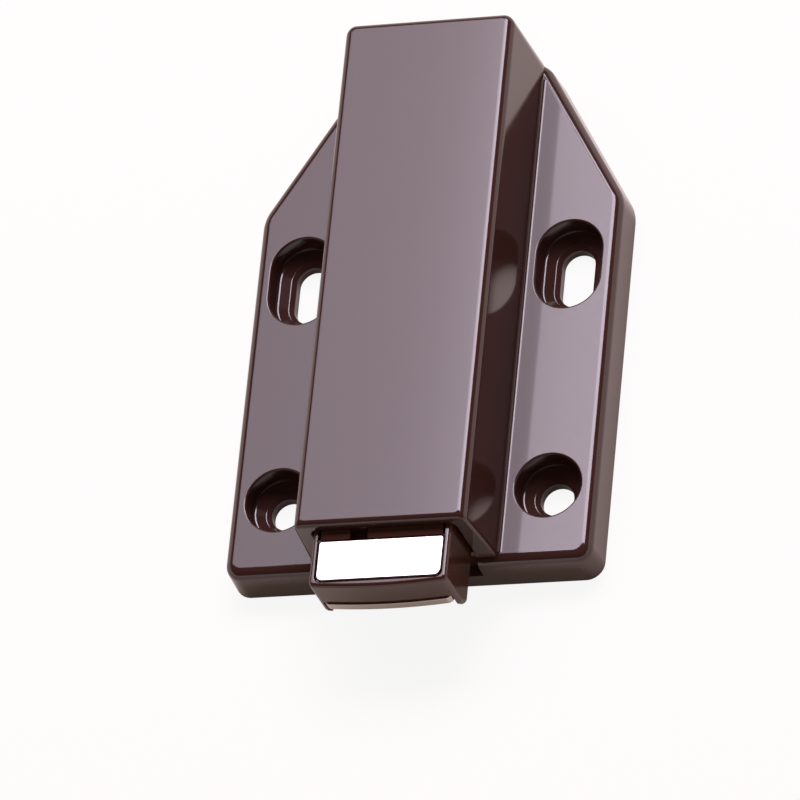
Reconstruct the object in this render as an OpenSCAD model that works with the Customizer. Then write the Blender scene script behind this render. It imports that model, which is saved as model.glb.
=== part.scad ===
// Press release cabinet latch: a moulded housing with a sprung magnetic plunger.
// Millimetres, +Z up from the mounting face, the plunger faces -Y.
// The origin is midway between the two front screw holes, on the mounting face.

/* [Flange] */
// Width across the flange
flange_w = 50; // [46:0.5:60]
// Length of the housing from its front edge to its rear end
housing_l = 75; // [70:0.5:95]
// Thickness of the flange
flange_t = 5.8; // [5:0.1:7]
// Length of the straight sides, from the front edge to the shoulders
shoulder_l = 52.9; // [50:0.1:56]
// How far the sides lean in over the thickness of the flange
flange_lean = 0.3; // [0:0.05:0.5]
// Thickness of the flange over its hollows
flange_roof_t = 1.9; // [1.8:0.1:2.2]
// Thickness of the ribs in the hollows
rib_t = 1.2; // [0.8:0.1:1.6]
// Radius of the front corners of the flange
corner_r = 2.4; // [1:0.1:3]
// Radius of the turn where the sides start to slant
shoulder_r = 6; // [2:0.5:8]
// Radius along the upper edges of the flange and of the ends of the box
edge_r = 0.85; // [0.4:0.05:1.2]

/* [Box] */
// Height of the box above the mounting face
box_h = 17.4; // [15.7:0.1:20]
// Width of the box at the mounting face
box_base_w = 25.9; // [25:0.1:27]
// Width of the box at its top
box_top_w = 23; // [22.6:0.1:24]
// Radius along the upper side edges of the box
box_side_r = 1.2; // [0.6:0.1:1.4]
// Radius of the upright rear corners of the box
box_corner_r = 2.5; // [1:0.1:3]
// Setback of the box front behind the front edge of the flange
box_setback = 1.2; // [0.8:0.1:1.6]
// Length of the plain rear end behind the slanted sides of the flange
tail_l = 1.6; // [1:0.1:3]
// How far the rear face leans forward over its height
rear_lean = 0.6; // [0:0.1:1]
// Thickness of the outer walls
wall_t = 1.8; // [1.4:0.1:2]
// Thickness of the top of the box
roof_t = 1.6; // [1.2:0.1:1.8]
// Width of the channel that the plunger slides in
channel_w = 20; // [19.8:0.1:20.4]

/* [Front opening] */
// Width of the plunger opening
opening_w = 19.3; // [18.8:0.1:19.6]
// Radius of the upper corners of the opening
opening_r = 1.2; // [0.5:0.1:2]
// Clearance between the sill and the nose of the plunger
sill_gap = 0.4; // [0.2:0.1:0.8]
// Foot of the shallow recess in the sill
sill_recess_z = 2.6; // [2.4:0.1:4]
// Depth of the shallow recess behind the box front
sill_recess_d = 0.4; // [0.2:0.1:0.6]
// Thickness of the front wall behind the box front
front_wall_t = 2; // [1.6:0.1:2.4]

/* [Screw holes] */
// Distance between the front screw holes
hole_spacing = 36.5; // [36:0.1:40]
// Distance of the front screw holes behind the front edge
hole_setback = 11; // [10.5:0.1:13]
// Distance from the front holes to the rear slots
slot_pitch = 32; // [30:0.5:34]
// Length that the rear slots have beyond their width
slot_extra = 3.8; // [2:0.1:5]
// Diameter of the screw holes and width of the slots
hole_d = 4.5; // [4:0.1:4.8]
// Diameter of the counterbores
cbore_d = 9.1; // [9:0.1:10]
// Diameter where the counterbore wall turns into its floor
seat_d = 8.5; // [7:0.1:8.8]
// Diameter of the mouth of the screw hole
mouth_d = 6.4; // [5:0.1:6.6]
// Height of the counterbore floor above the mounting face
seat_z = 2.1; // [1.9:0.05:3]
// Drop of the counterbore floor towards the screw hole
seat_drop = 0.1; // [0.05:0.05:0.4]
// Wall round each counterbore
boss_wall = 1.4; // [1:0.1:1.6]

/* [Plunger] */
// Width of the plunger nose
plunger_w = 18.5; // [18.1:0.1:18.6]
// Height of the plunger nose
plunger_h = 8.6; // [8.2:0.1:8.8]
// How far the plunger stands out past the front edge
plunger_reach = 7.1; // [6.5:0.05:8]
// Radius of the curved front of the plunger
plunger_bow_r = 60; // [50:5:200]
// Length of the bevel under the front of the plunger
nose_bevel_l = 1.4; // [0.8:0.1:1.6]
// Height of that bevel
nose_bevel_h = 3.2; // [2:0.1:3.6]
// Travel of the plunger into the housing
plunger_travel = 6; // [5:0.1:6]
// Length of the sliding body behind the front wall
sled_l = 32; // [30:0.5:33]
// Clearance on each side of the sliding body
slide_gap = 0.25; // [0.15:0.05:0.4]
// Clearance under the roof of the box
roof_gap = 0.2; // [0.1:0.05:0.4]
// Height of the underside of the sliding body
sled_z = 4; // [3.9:0.05:4.1]
// Clearance between the sliding body and its rails, and at its front stop
rail_gap = 0.1; // [0.05:0.05:0.2]
// Thickness of the floor between the cam groove and the spring bore
sled_floor_t = 0.65; // [0.5:0.05:0.7]
// Thickness of the walls of the sliding body
sled_wall = 1.5; // [1.2:0.1:1.8]
// Width of the notch in the rim behind the upper plate
notch_w = 2.4; // [1.5:0.1:4]
// Distance of the notch from the middle, to the left
notch_offset = 3.1; // [0:0.1:5]
// Depth of the notch
notch_d = 2; // [1:0.1:3]
// Length of the notch
notch_l = 1.6; // [1:0.1:2]

/* [Magnet] */
// Width of the upper pole plate
upper_plate_w = 16.7; // [16:0.1:16.8]
// Length of the upper pole plate
upper_plate_l = 5.6; // [4.8:0.1:5.8]
// Thickness of the upper pole plate
upper_plate_t = 1; // [0.8:0.1:1.2]
// Depth of the upper pole plate below the rims round it
plate_drop = 0.1; // [0:0.05:0.3]
// Gap round the upper pole plate
plate_gap = 0.2; // [0.1:0.05:0.3]
// Thickness of the front rim of the plunger, up to the pocket
rim_t = 1.1; // [1:0.05:1.3]
// Width of the lower pole plate
lower_plate_w = 17.2; // [16.4:0.1:17.3]
// Thickness of the lower pole plate
lower_plate_t = 1.45; // [1.2:0.05:1.8]
// Height of the lower pole plate above the foot of the nose
lower_plate_lift = 2.5; // [2:0.1:2.8]
// How far the lower pole plate stands out in front of the nose
lower_plate_lip = 0.2; // [0:0.05:0.3]
// Radius of its front corners
lower_corner_r = 1.5; // [0.5:0.1:2]
// Width of the magnet
magnet_w = 14.8; // [14:0.1:15]

/* [Spring] */
// Wire diameter of the main spring
spring_wire_d = 0.8; // [0.6:0.05:0.9]
// Thickness of the plunger over the spring bore
spring_crown_t = 0.65; // [0.5:0.05:1]
// Turns of the main spring
spring_turns = 13; // [10:1:16]
// Clearance round the main spring in its bore
spring_gap = 0.4; // [0.2:0.05:0.6]
// Clearance of the spigots inside the main spring
spigot_gap = 0.4; // [0.2:0.05:0.6]
// Depth of the spring bore in the sliding body
spring_bore_l = 18; // [16:0.5:20]
// Clearance at each end of the main spring
spring_end_gap = 0.05; // [0.02:0.01:0.1]
// Distance from the front holes to the wall that the spring pushes on
abutment_y = 44; // [42:0.5:46]
// Thickness of that wall
abutment_t = 2; // [1.5:0.1:3]

/* [Hook wire and heart cam] */
// Wire diameter of the hook wire
hook_wire_d = 1; // [0.8:0.05:1.05]
// Length of the hook wire between its two upright legs
hook_l = 22; // [20:0.5:23]
// Height of the middle of the hook wire
hook_z = 3.1; // [3.05:0.05:3.2]
// Inner radius of the bends of the hook wire
hook_bend_r = 0.4; // [0.3:0.05:0.5]
// Clearance of the hook wire tip on each side of the cam lane
lane_gap = 0.25; // [0.2:0.05:0.35]
// Depth of the cam groove
groove_d = 1.5; // [1.2:0.1:1.5]
// Clearance between the hook wire tip and the floor of the groove
tip_gap = 0.25; // [0.1:0.05:0.5]
// Sideways swing of the tip at full travel
cam_reach = 3.2; // [2.8:0.1:3.4]
// Travel at which the tip rests in the notch of the heart
latch_travel = 4.2; // [3.6:0.1:4.4]
// Radial clearance of the pivot leg in its hole
pivot_gap = 0.05; // [0.02:0.01:0.08]
// Depth of the pivot leg below the middle of the hook wire
pivot_leg_l = 2.3; // [2:0.1:2.4]
// Diameter of the pivot boss on the cover
pivot_boss_d = 4; // [3:0.1:5]

/* [Base cover] */
// Thickness of the base cover
cover_t = 1.6; // [1.4:0.1:1.7]
// Recess of the base cover above the mounting face
cover_lift = 0.2; // [0.1:0.05:0.3]
// Clearance round the base cover
cover_gap = 0.15; // [0.1:0.05:0.25]
// Width of the ledge that the cover seats on
ledge_w = 1.4; // [1:0.1:1.6]
// Width of the two rails that carry the plunger
rail_w = 1.4; // [1:0.1:2]
// Width of the front tongues
tongue_w = 4; // [3:0.5:5]
// Length of the front tongues
tongue_l = 1.2; // [0.8:0.1:1.4]
// Thickness of the front tongues
tongue_t = 0.9; // [0.7:0.1:1]
// Distance of each tongue from the middle
tongue_x = 5; // [3:0.5:6]

/* [Leaf spring] */
// Thickness of the leaf spring
leaf_t = 0.25; // [0.2:0.05:0.3]
// Width of the leaf spring
leaf_w = 7; // [6:0.5:9]
// Length of the flat end of the leaf spring
leaf_foot_l = 5; // [4:0.5:6]
// Length of the free arm of the leaf spring
leaf_arm_l = 8; // [6:0.5:9]
// Clearance between the leaf spring and the hook wire
leaf_gap = 0.05; // [0.02:0.01:0.1]
// Diameter of the stakes that hold the leaf spring
stake_d = 1.5; // [1:0.1:1.8]
// Distance between the stakes
stake_spacing = 4.4; // [3.8:0.1:4.8]
// Height of the stakes above the cover
stake_h = 0.6; // [0.4:0.05:0.7]

/* [Cover screws] */
// Shank diameter of the cover screws
screw_d = 1.9; // [1.6:0.1:2.2]
// Head diameter of the cover screws
screw_head_d = 3.8; // [3.4:0.1:4.2]
// Height of the countersunk heads
screw_head_h = 1.1; // [0.9:0.1:1.2]
// Length of the cover screws
screw_l = 8; // [6:0.5:10]
// Radial clearance of the shanks and heads
screw_gap = 0.05; // [0.03:0.01:0.1]
// Distance between the cover screws
screw_spacing = 14.4; // [13:0.1:14.8]
// Distance of the cover screws in front of the rear end
screw_inset = 6.5; // [6:0.1:8]
// Diameter of the posts that take the cover screws
post_d = 5.2; // [4.6:0.1:5.4]

/* [Hidden] */
$fn = 48;

BROWN = [0.24, 0.15, 0.13];
STEEL = [0.82, 0.81, 0.79];
FERRITE = [0.16, 0.16, 0.17];

// How far a cutter runs past the face that it opens
past = 2;
// Length of the edge prisms, longer than any side
reach = 3 * housing_l;

// Housing: places along Y
front_y = -hole_setback;
rear_y = front_y + housing_l;
box_front_y = front_y + box_setback;
wall_inner_y = box_front_y + front_wall_t;
rear_inner_y = rear_y - rear_lean - wall_t;
shoulder_y = front_y + shoulder_l;
slant_end_y = rear_y - tail_l;

// Housing: heights and widths
roof_z = box_h - roof_t;
floor_z = cover_lift + cover_t;
box_half_w = box_base_w / 2;
rebate_w = channel_w + 2 * ledge_w;
rebate_rear_y = rear_inner_y + ledge_w / 2;

// Slanted sides of the flange, as a direction and an outward normal
slant_dx = flange_w / 2 - box_half_w;
slant_dy = slant_end_y - shoulder_y;
slant_len = norm([slant_dx, slant_dy]);
slant_angle = atan2(slant_dx, slant_dy);

// Wing hollows under the flange
wing_out_x = flange_w / 2 - wall_t;
wing_front_y = front_y + wall_t;
wing_side_y = shoulder_y + wall_t * (slant_dy - slant_len) / slant_dx;
wing_rear_y = shoulder_y + ((wing_out_x - box_half_w + wall_t) * slant_dy - wall_t * slant_len) / slant_dx;

// Plunger
plunger_front = front_y - plunger_reach;
nose_top = roof_z - roof_gap;
nose_z = nose_top - plunger_h;
sled_w = channel_w - 2 * slide_gap;
sled_front = wall_inner_y + rail_gap;
sled_rear = sled_front + sled_l;
nose_edge_r = 0.3;
sill_h = nose_z - sill_gap;

// Magnet and its plates
upper_plate_top = nose_top - plate_drop;
upper_plate_z = upper_plate_top - upper_plate_t;
plate_front = plunger_front + rim_t + plate_gap;
plate_rear = plate_front + upper_plate_l;
pocket_rear = plate_rear + plate_gap;
lower_plate_z = nose_z + lower_plate_lift;
lower_plate_top = lower_plate_z + lower_plate_t;
lower_slot_gap = 0.05;
upper_corner_r = 0.9;
rear_corner_r = 0.4;
side_groove_w = 0.4;
side_groove_d = 0.8;

// Main spring
sled_floor_top = sled_z + groove_d + sled_floor_t;
spring_bore_r = (nose_top - spring_crown_t - sled_floor_top) / 2;
spring_d = 2 * (spring_bore_r - spring_gap);
spring_r = (spring_d - spring_wire_d) / 2;
spigot_r = spring_d / 2 - spring_wire_d - spigot_gap;
spring_z = sled_floor_top + spring_bore_r;
spring_seat_y = sled_rear - spring_bore_l;
spring_from = spring_seat_y + spring_end_gap + spring_wire_d / 2;
spring_to = abutment_y - spring_end_gap - spring_wire_d / 2;
spigot_l = 3;
abutment_spigot_l = 6;
tube_wall = 0.9;

// Hook wire and heart cam
hook_r = hook_wire_d / 2;
pivot_y = abutment_y + abutment_t / 2;
tip_y = pivot_y - hook_l;
lane_r = hook_r + lane_gap;
turn_relief = 0.05;
turn_r = lane_r + turn_relief;
tip_top = sled_z + groove_d - tip_gap;
pivot_foot = hook_z - pivot_leg_l;
bend_mid_r = hook_bend_r + hook_r;
keeper_gap = 0.1;
keeper_z = hook_z + hook_r + keeper_gap;

// Base cover
cover_w = rebate_w - 2 * cover_gap;
cover_front = wall_inner_y + cover_gap;
cover_rear = rebate_rear_y - cover_gap;
rail_top = sled_z - rail_gap;
rail_x = sled_w / 2 - rail_w;
rail_rear = sled_rear + plunger_travel;
pivot_boss_top = hook_z - bend_mid_r;
tongue_z = floor_z - tongue_t;
tongue_gap = 0.1;

// Leaf spring
leaf_tip_top = hook_z - hook_r - leaf_gap;
leaf_boss_gap = 1;
leaf_foot_rear = pivot_y - pivot_boss_d / 2 - leaf_boss_gap;
leaf_foot_front = leaf_foot_rear - leaf_foot_l;
leaf_tip_y = leaf_foot_front - leaf_arm_l;
leaf_curl_l = 0.8;
stake_y = leaf_foot_rear - leaf_foot_l / 2;
stake_gap = 0.05;

// Cover screws
screw_y = rear_y - screw_inset;
screw_sink = 0.1;
screw_tip_d = 0.2;
screw_head_z = cover_lift + screw_sink;
post_z = floor_z;
cross_w = 0.5;
cross_l = 2.2;
cross_d = 0.6;

// One corner of a convex outline: the two points where its rounding starts and ends
function unit(v) = v / norm(v);
function corner_angle(a, b, c) = acos(unit(a - b) * unit(c - b));
function corner_run(a, b, c, r) = r / tan(corner_angle(a, b, c) / 2);
function corner_points(a, b, c, r) = r <= 0
    ? [b]
    : [b + unit(a - b) * corner_run(a, b, c, r), b + unit(c - b) * corner_run(a, b, c, r)];
function corner_centre(a, b, c, r) =
    b + unit(unit(a - b) + unit(c - b)) * r / sin(corner_angle(a, b, c) / 2);

// A convex outline with a radius of its own at each corner
module rounded(points, radii) {
    n = len(points);
    polygon([
        for (i = [0 : n - 1])
            each corner_points(points[(i + n - 1) % n], points[i], points[(i + 1) % n], radii[i])
    ]);
    for (i = [0 : n - 1])
        if (radii[i] > 0)
            translate(corner_centre(points[(i + n - 1) % n], points[i], points[(i + 1) % n], radii[i]))
                circle(radii[i]);
}

// A box given by its lowest and highest corners
module block(low, high) {
    translate(low)
        cube(high - low);
}

// An outline drawn in X and Z, extruded along Y
module along_y(from_y, to_y) {
    translate([0, to_y, 0])
        rotate([90, 0, 0])
            linear_extrude(to_y - from_y)
                children();
}

// A round bar along Y
module rod_y(r, from_y, to_y, z) {
    translate([0, from_y, z])
        rotate([-90, 0, 0])
            cylinder(r = r, h = to_y - from_y);
}

// A half space behind a leaning side with a rounded upper edge, facing local +X
module side_keep(height, lean) {
    translate([0, reach / 2, 0])
        rotate([90, 0, 0])
            linear_extrude(reach)
                rounded(
                    [[-reach, 0], [0, 0], [-lean, height], [-reach, height]],
                    [0, 0, edge_r, 0]
                );
}

// The flange: a house-shaped plate with leaning sides and rounded edges
module flange_body() {
    half = flange_w / 2;
    intersection() {
        linear_extrude(flange_t)
            rounded(
                [[-half, front_y], [half, front_y], [half, slant_end_y], [-half, slant_end_y]],
                [corner_r, corner_r, 0, 0]
            );
        right_sides(half);
        mirror([1, 0, 0])
            right_sides(half);
        translate([0, front_y, 0])
            rotate([0, 0, -90])
                side_keep(flange_t, flange_lean);
    }
}

// The straight side, the slanted side and the turn between them, on the right
module right_sides(half) {
    intersection() {
        translate([half, 0, 0])
            side_keep(flange_t, flange_lean);
        translate([half - shoulder_r, shoulder_y - shoulder_r * tan(slant_angle / 2), 0])
            rotate([0, 0, slant_angle / 2])
                translate([shoulder_r, 0, 0])
                    side_keep(flange_t, flange_lean);
        translate([half, shoulder_y, 0])
            rotate([0, 0, slant_angle])
                side_keep(flange_t, flange_lean);
    }
}

// The raised box: tapered across, with leaning ends
module box_body() {
    difference() {
        intersection() {
            along_y(front_y, rear_y)
                rounded(
                    [
                        [-box_half_w, 0], [box_half_w, 0],
                        [box_top_w / 2, box_h], [-box_top_w / 2, box_h]
                    ],
                    [0, 0, box_side_r, box_side_r]
                );
            translate([0, rear_y, 0])
                rotate([0, 0, 90])
                    side_keep(box_h, rear_lean);
            translate([0, box_front_y, 0])
                rotate([0, 0, -90])
                    side_keep(box_h, 0);
        }
        rear_corner_waste();
        mirror([1, 0, 0])
            rear_corner_waste();
    }
}

// What is left outside the rounding of the right rear corner of the box, along its leaning edge
module rear_corner_waste() {
    side_tilt = atan((box_half_w - box_top_w / 2) / box_h);
    rear_tilt = atan(rear_lean * cos(side_tilt) / box_h);
    translate([box_half_w, rear_y, 0])
        rotate([rear_tilt, -side_tilt, 0])
            translate([-box_corner_r, -box_corner_r, -past])
                linear_extrude(box_h + 2 * past)
                    difference() {
                        square(box_corner_r + past);
                        circle(box_corner_r);
                    }
}

// A round or slotted cut along Z, straight or tapered
module slot_cut(r_low, r_high, from_z, to_z, extra) {
    for (end = [-0.5, 0.5])
        translate([0, end * extra, from_z])
            cylinder(r1 = r_low, r2 = r_high, h = to_z - from_z);
    if (extra > 0)
        along_y(-extra / 2, extra / 2)
            polygon([[-r_low, from_z], [r_low, from_z], [r_high, to_z], [-r_high, to_z]]);
}

// A screw hole: through hole, flared mouth, sloping seat and counterbore
module screw_hole(extra) {
    mouth_z = seat_z - seat_drop;
    flare_h = (mouth_d - hole_d) / 2;
    wall_foot_z = seat_z + (cbore_d - seat_d) / 2;
    slot_cut(hole_d / 2, hole_d / 2, -past, mouth_z - flare_h, extra);
    slot_cut(hole_d / 2, mouth_d / 2, mouth_z - flare_h, mouth_z, extra);
    slot_cut(mouth_d / 2, seat_d / 2, mouth_z, seat_z, extra);
    slot_cut(seat_d / 2, cbore_d / 2, seat_z, wall_foot_z, extra);
    slot_cut(cbore_d / 2, cbore_d / 2, wall_foot_z, flange_t + past, extra);
}

// The hollow under the right wing, less its screw bosses and ribs
module wing_hollow() {
    boss_r = cbore_d / 2 + boss_wall;
    rib_ys = [slot_pitch / 2, slot_pitch + slot_extra / 2 + boss_r + rib_t];
    translate([0, 0, -past])
        linear_extrude(flange_t - flange_roof_t + past)
            difference() {
                polygon([
                    [box_half_w, wing_front_y], [wing_out_x, wing_front_y],
                    [wing_out_x, wing_side_y], [box_half_w, wing_rear_y]
                ]);
                translate([hole_spacing / 2, 0])
                    circle(boss_r);
                for (end = [-0.5, 0.5])
                    translate([hole_spacing / 2, slot_pitch + end * slot_extra])
                        circle(boss_r);
                translate([hole_spacing / 2 - boss_r, slot_pitch - slot_extra / 2])
                    square([2 * boss_r, slot_extra]);
                for (y = rib_ys)
                    translate([0, y - rib_t / 2])
                        square([flange_w / 2, rib_t]);
            }
}

// The slot in the front wall for one tongue of the cover
module tongue_slot(side) {
    half = tongue_w / 2 + tongue_gap;
    block(
        [side * tongue_x - half, wall_inner_y - tongue_l - tongue_gap, tongue_z - tongue_gap],
        [side * tongue_x + half, wall_inner_y + past, floor_z + tongue_gap]
    );
}

// What stays in the channel: the spring wall with its spigot, and the screw posts
module channel_fittings() {
    block(
        [-channel_w / 2, abutment_y, keeper_z],
        [channel_w / 2, abutment_y + abutment_t, roof_z]
    );
    rod_y(spigot_r, abutment_y - abutment_spigot_l, abutment_y + abutment_t, spring_z);
    for (side = [-1, 1])
        screw_post(side);
}

// A screw post joined to the side wall by a web
module screw_post(side) {
    web_t = screw_d;
    difference() {
        union() {
            translate([side * screw_spacing / 2, screw_y, post_z])
                cylinder(d = post_d, h = roof_z - post_z);
            translate([side * (screw_spacing / 2 + channel_w / 2) / 2, screw_y, (post_z + roof_z) / 2])
                cube([channel_w / 2 - screw_spacing / 2, web_t, roof_z - post_z], center = true);
        }
        translate([side * screw_spacing / 2, screw_y, 0])
            cylinder(r = screw_d / 2 + screw_gap, h = screw_head_z + screw_l + screw_gap);
    }
}

// The moulded shell
module housing() {
    color(BROWN)
        difference() {
            union() {
                flange_body();
                box_body();
            }
            difference() {
                block([-channel_w / 2, wall_inner_y, -past], [channel_w / 2, rear_inner_y, roof_z]);
                channel_fittings();
            }
            block([-rebate_w / 2, wall_inner_y, -past], [rebate_w / 2, rebate_rear_y, floor_z]);
            wing_hollow();
            mirror([1, 0, 0])
                wing_hollow();
            for (side = [-1, 1]) {
                translate([side * hole_spacing / 2, 0, 0])
                    screw_hole(0);
                translate([side * hole_spacing / 2, slot_pitch, 0])
                    screw_hole(slot_extra);
                tongue_slot(side);
            }
            along_y(front_y - past, wall_inner_y + past)
                rounded(
                    [
                        [-opening_w / 2, sill_h], [opening_w / 2, sill_h],
                        [opening_w / 2, roof_z], [-opening_w / 2, roof_z]
                    ],
                    [0, 0, opening_r, opening_r]
                );
            block(
                [-opening_w / 2, front_y - past, sill_recess_z],
                [opening_w / 2, box_front_y + sill_recess_d, sill_h + rail_gap]
            );
        }
}

// The cover over the underside of the channel
module base_cover() {
    color(BROWN)
        difference() {
            union() {
                block([-cover_w / 2, cover_front, cover_lift], [cover_w / 2, cover_rear, floor_z]);
                for (side = [-1, 1]) {
                    block(
                        [side * (rail_x + rail_w / 2) - rail_w / 2, cover_front, cover_lift],
                        [side * (rail_x + rail_w / 2) + rail_w / 2, rail_rear, rail_top]
                    );
                    block(
                        [side * tongue_x - tongue_w / 2, wall_inner_y - tongue_l, tongue_z],
                        [side * tongue_x + tongue_w / 2, cover_front, floor_z]
                    );
                    translate([side * stake_spacing / 2, stake_y, cover_lift])
                        cylinder(d = stake_d, h = floor_z + stake_h - cover_lift);
                }
                translate([0, pivot_y, cover_lift])
                    cylinder(d = pivot_boss_d, h = pivot_boss_top - cover_lift);
            }
            translate([0, pivot_y, pivot_foot - pivot_gap])
                cylinder(r = hook_r + pivot_gap, h = hook_z);
            for (side = [-1, 1])
                translate([side * screw_spacing / 2, screw_y, 0]) {
                    cylinder(r = screw_head_d / 2 + screw_gap, h = screw_head_z);
                    translate([0, 0, screw_head_z])
                        cylinder(
                            r1 = screw_head_d / 2 + screw_gap,
                            r2 = screw_d / 2 + screw_gap,
                            h = screw_head_h
                        );
                    cylinder(r = screw_d / 2 + screw_gap, h = floor_z + past);
                }
        }
}

// A countersunk self-tapping screw with a cross recess, head down
module cover_screw(side) {
    color(STEEL)
        translate([side * screw_spacing / 2, screw_y, screw_head_z])
            difference() {
                union() {
                    cylinder(d1 = screw_head_d, d2 = screw_d, h = screw_head_h);
                    cylinder(d = screw_d, h = screw_l - screw_d);
                    translate([0, 0, screw_l - screw_d])
                        cylinder(d1 = screw_d, d2 = screw_tip_d, h = screw_d);
                }
                for (turn = [0, 90])
                    rotate([0, 0, turn])
                        translate([0, 0, cross_d / 2 - past / 2])
                            cube([cross_l, cross_w, cross_d + past], center = true);
            }
}

module cover_screw_left() {
    cover_screw(-1);
}

module cover_screw_right() {
    cover_screw(1);
}

// An upright round body whose front gives the nose and the lower plate their curved fronts
module front_bow(lip) {
    translate([0, plunger_front + plunger_bow_r, 0])
        cylinder(r = plunger_bow_r + lip, h = box_h, $fn = 360);
}

// The nose of the plunger: bowed and bevelled at the front, with rounded upper edges
module plunger_nose() {
    half = plunger_w / 2;
    intersection() {
        along_y(plunger_front, sled_front + past)
            rounded(
                [[-half, nose_z], [half, nose_z], [half, nose_top], [-half, nose_top]],
                [0, 0, nose_edge_r, nose_edge_r]
            );
        translate([-half, 0, 0])
            rotate([90, 0, 90])
                linear_extrude(plunger_w)
                    rounded(
                        [
                            [plunger_front + nose_bevel_l, nose_z], [sled_front + past, nose_z],
                            [sled_front + past, nose_top], [plunger_front, nose_top],
                            [plunger_front, nose_z + nose_bevel_h]
                        ],
                        [0, 0, 0, nose_edge_r, 0]
                    );
        front_bow(0);
    }
}

// The pocket for the upper plate, with its thin side grooves and the rear notch
module plate_pocket() {
    half = upper_plate_w / 2 + plate_gap;
    translate([0, 0, upper_plate_z])
        linear_extrude(upper_plate_t + plate_drop + past)
            rounded(
                [
                    [-half, plate_front - plate_gap], [half, plate_front - plate_gap],
                    [half, pocket_rear], [-half, pocket_rear]
                ],
                [upper_corner_r, upper_corner_r, rear_corner_r, rear_corner_r]
            );
    for (side = [-1, 1])
        block(
            [side * (half - side_groove_w / 2) - side_groove_w / 2, plate_rear, nose_top - side_groove_d],
            [side * (half - side_groove_w / 2) + side_groove_w / 2, pocket_rear + notch_l, nose_top + past]
        );
    block(
        [-notch_offset - notch_w / 2, plate_rear, nose_top - notch_d],
        [-notch_offset + notch_w / 2, pocket_rear + notch_l, nose_top + past]
    );
}

// The heart cam groove: straight lanes joined by round turns
module cam_groove() {
    start = [0, tip_y];
    turn_in = [cam_reach, tip_y - plunger_travel];
    rest = [0, tip_y - latch_travel];
    turn_out = [-cam_reach, tip_y - plunger_travel];
    lanes = [[start, turn_in], [turn_in, rest], [rest, turn_out], [turn_out, start]];
    translate([0, 0, sled_z - past])
        linear_extrude(groove_d + past)
            for (lane = lanes)
                cam_lane(lane[0], lane[1]);
}

// One lane of the groove, from a to b, with a slightly wider round turn at a
module cam_lane(a, b) {
    run = b - a;
    translate(a) {
        circle(turn_r);
        rotate([0, 0, atan2(run[1], run[0])])
            translate([0, -lane_r])
                square([norm(run), 2 * lane_r]);
    }
}

// The sliding plunger: nose, body, spring bore and cam
module plunger() {
    inner_half = sled_w / 2 - sled_wall;
    front_pocket_end = spring_seat_y - sled_wall;
    color(BROWN)
        difference() {
            union() {
                plunger_nose();
                block([-sled_w / 2, sled_front, sled_z], [sled_w / 2, sled_rear, nose_top]);
            }
            plate_pocket();
            block(
                [-magnet_w / 2 - lower_slot_gap, plate_front - plate_gap, lower_plate_top - past],
                [magnet_w / 2 + lower_slot_gap, pocket_rear, upper_plate_z]
            );
            block(
                [-lower_plate_w / 2 - lower_slot_gap, plunger_front - past, nose_z - past],
                [lower_plate_w / 2 + lower_slot_gap, pocket_rear, lower_plate_top]
            );
            block(
                [-inner_half, sled_front + sled_wall, sled_floor_top],
                [inner_half, front_pocket_end, nose_top + past]
            );
            difference() {
                block(
                    [-inner_half, spring_seat_y + sled_wall, sled_floor_top],
                    [inner_half, sled_rear - sled_wall, nose_top + past]
                );
                rod_y(spring_bore_r + tube_wall, spring_seat_y, sled_rear, spring_z);
            }
            difference() {
                rod_y(spring_bore_r, spring_seat_y, sled_rear + past, spring_z);
                rod_y(spigot_r, spring_seat_y - sled_wall / 2, spring_seat_y + spigot_l, spring_z);
            }
            cam_groove();
        }
}

// The bright plate on top of the magnet
module upper_pole_plate() {
    half = upper_plate_w / 2;
    color(STEEL)
        translate([0, 0, upper_plate_z])
            linear_extrude(upper_plate_t)
                rounded(
                    [[-half, plate_front], [half, plate_front], [half, plate_rear], [-half, plate_rear]],
                    [upper_corner_r, upper_corner_r, rear_corner_r, rear_corner_r]
                );
}

module magnet() {
    color(FERRITE)
        block(
            [-magnet_w / 2, plate_front, lower_plate_top],
            [magnet_w / 2, plate_rear, upper_plate_z]
        );
}

// The plate under the magnet, whose front edge shows at the foot of the nose
module lower_pole_plate() {
    half = lower_plate_w / 2;
    front = plunger_front - lower_plate_lip;
    color(STEEL)
        intersection() {
            translate([0, 0, lower_plate_z])
                linear_extrude(lower_plate_t)
                    rounded(
                        [[-half, front], [half, front], [half, plate_rear], [-half, plate_rear]],
                        [lower_corner_r, lower_corner_r, 0, 0]
                    );
            front_bow(lower_plate_lip);
        }
}

// Place along Y of the spring's wire at turn t, with one closed turn at each end
function coil_rise(t) =
    t < 1 ? t * spring_wire_d
    : t > spring_turns - 1 ? spring_to - spring_from - (spring_turns - t) * spring_wire_d
    : spring_wire_d + (t - 1) * (spring_to - spring_from - 2 * spring_wire_d) / (spring_turns - 2);
coil_steps = 20;
coil_sides = 8;
coil_rings = spring_turns * coil_steps;
function coil_point(ring, side) =
    let (
        around = 360 * ring / coil_steps,
        across = 360 * side / coil_sides,
        r = spring_r + spring_wire_d / 2 * cos(across)
    )
    [
        r * cos(around),
        spring_from + coil_rise(ring / coil_steps) + spring_wire_d / 2 * sin(across),
        spring_z + r * sin(around)
    ];

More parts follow.
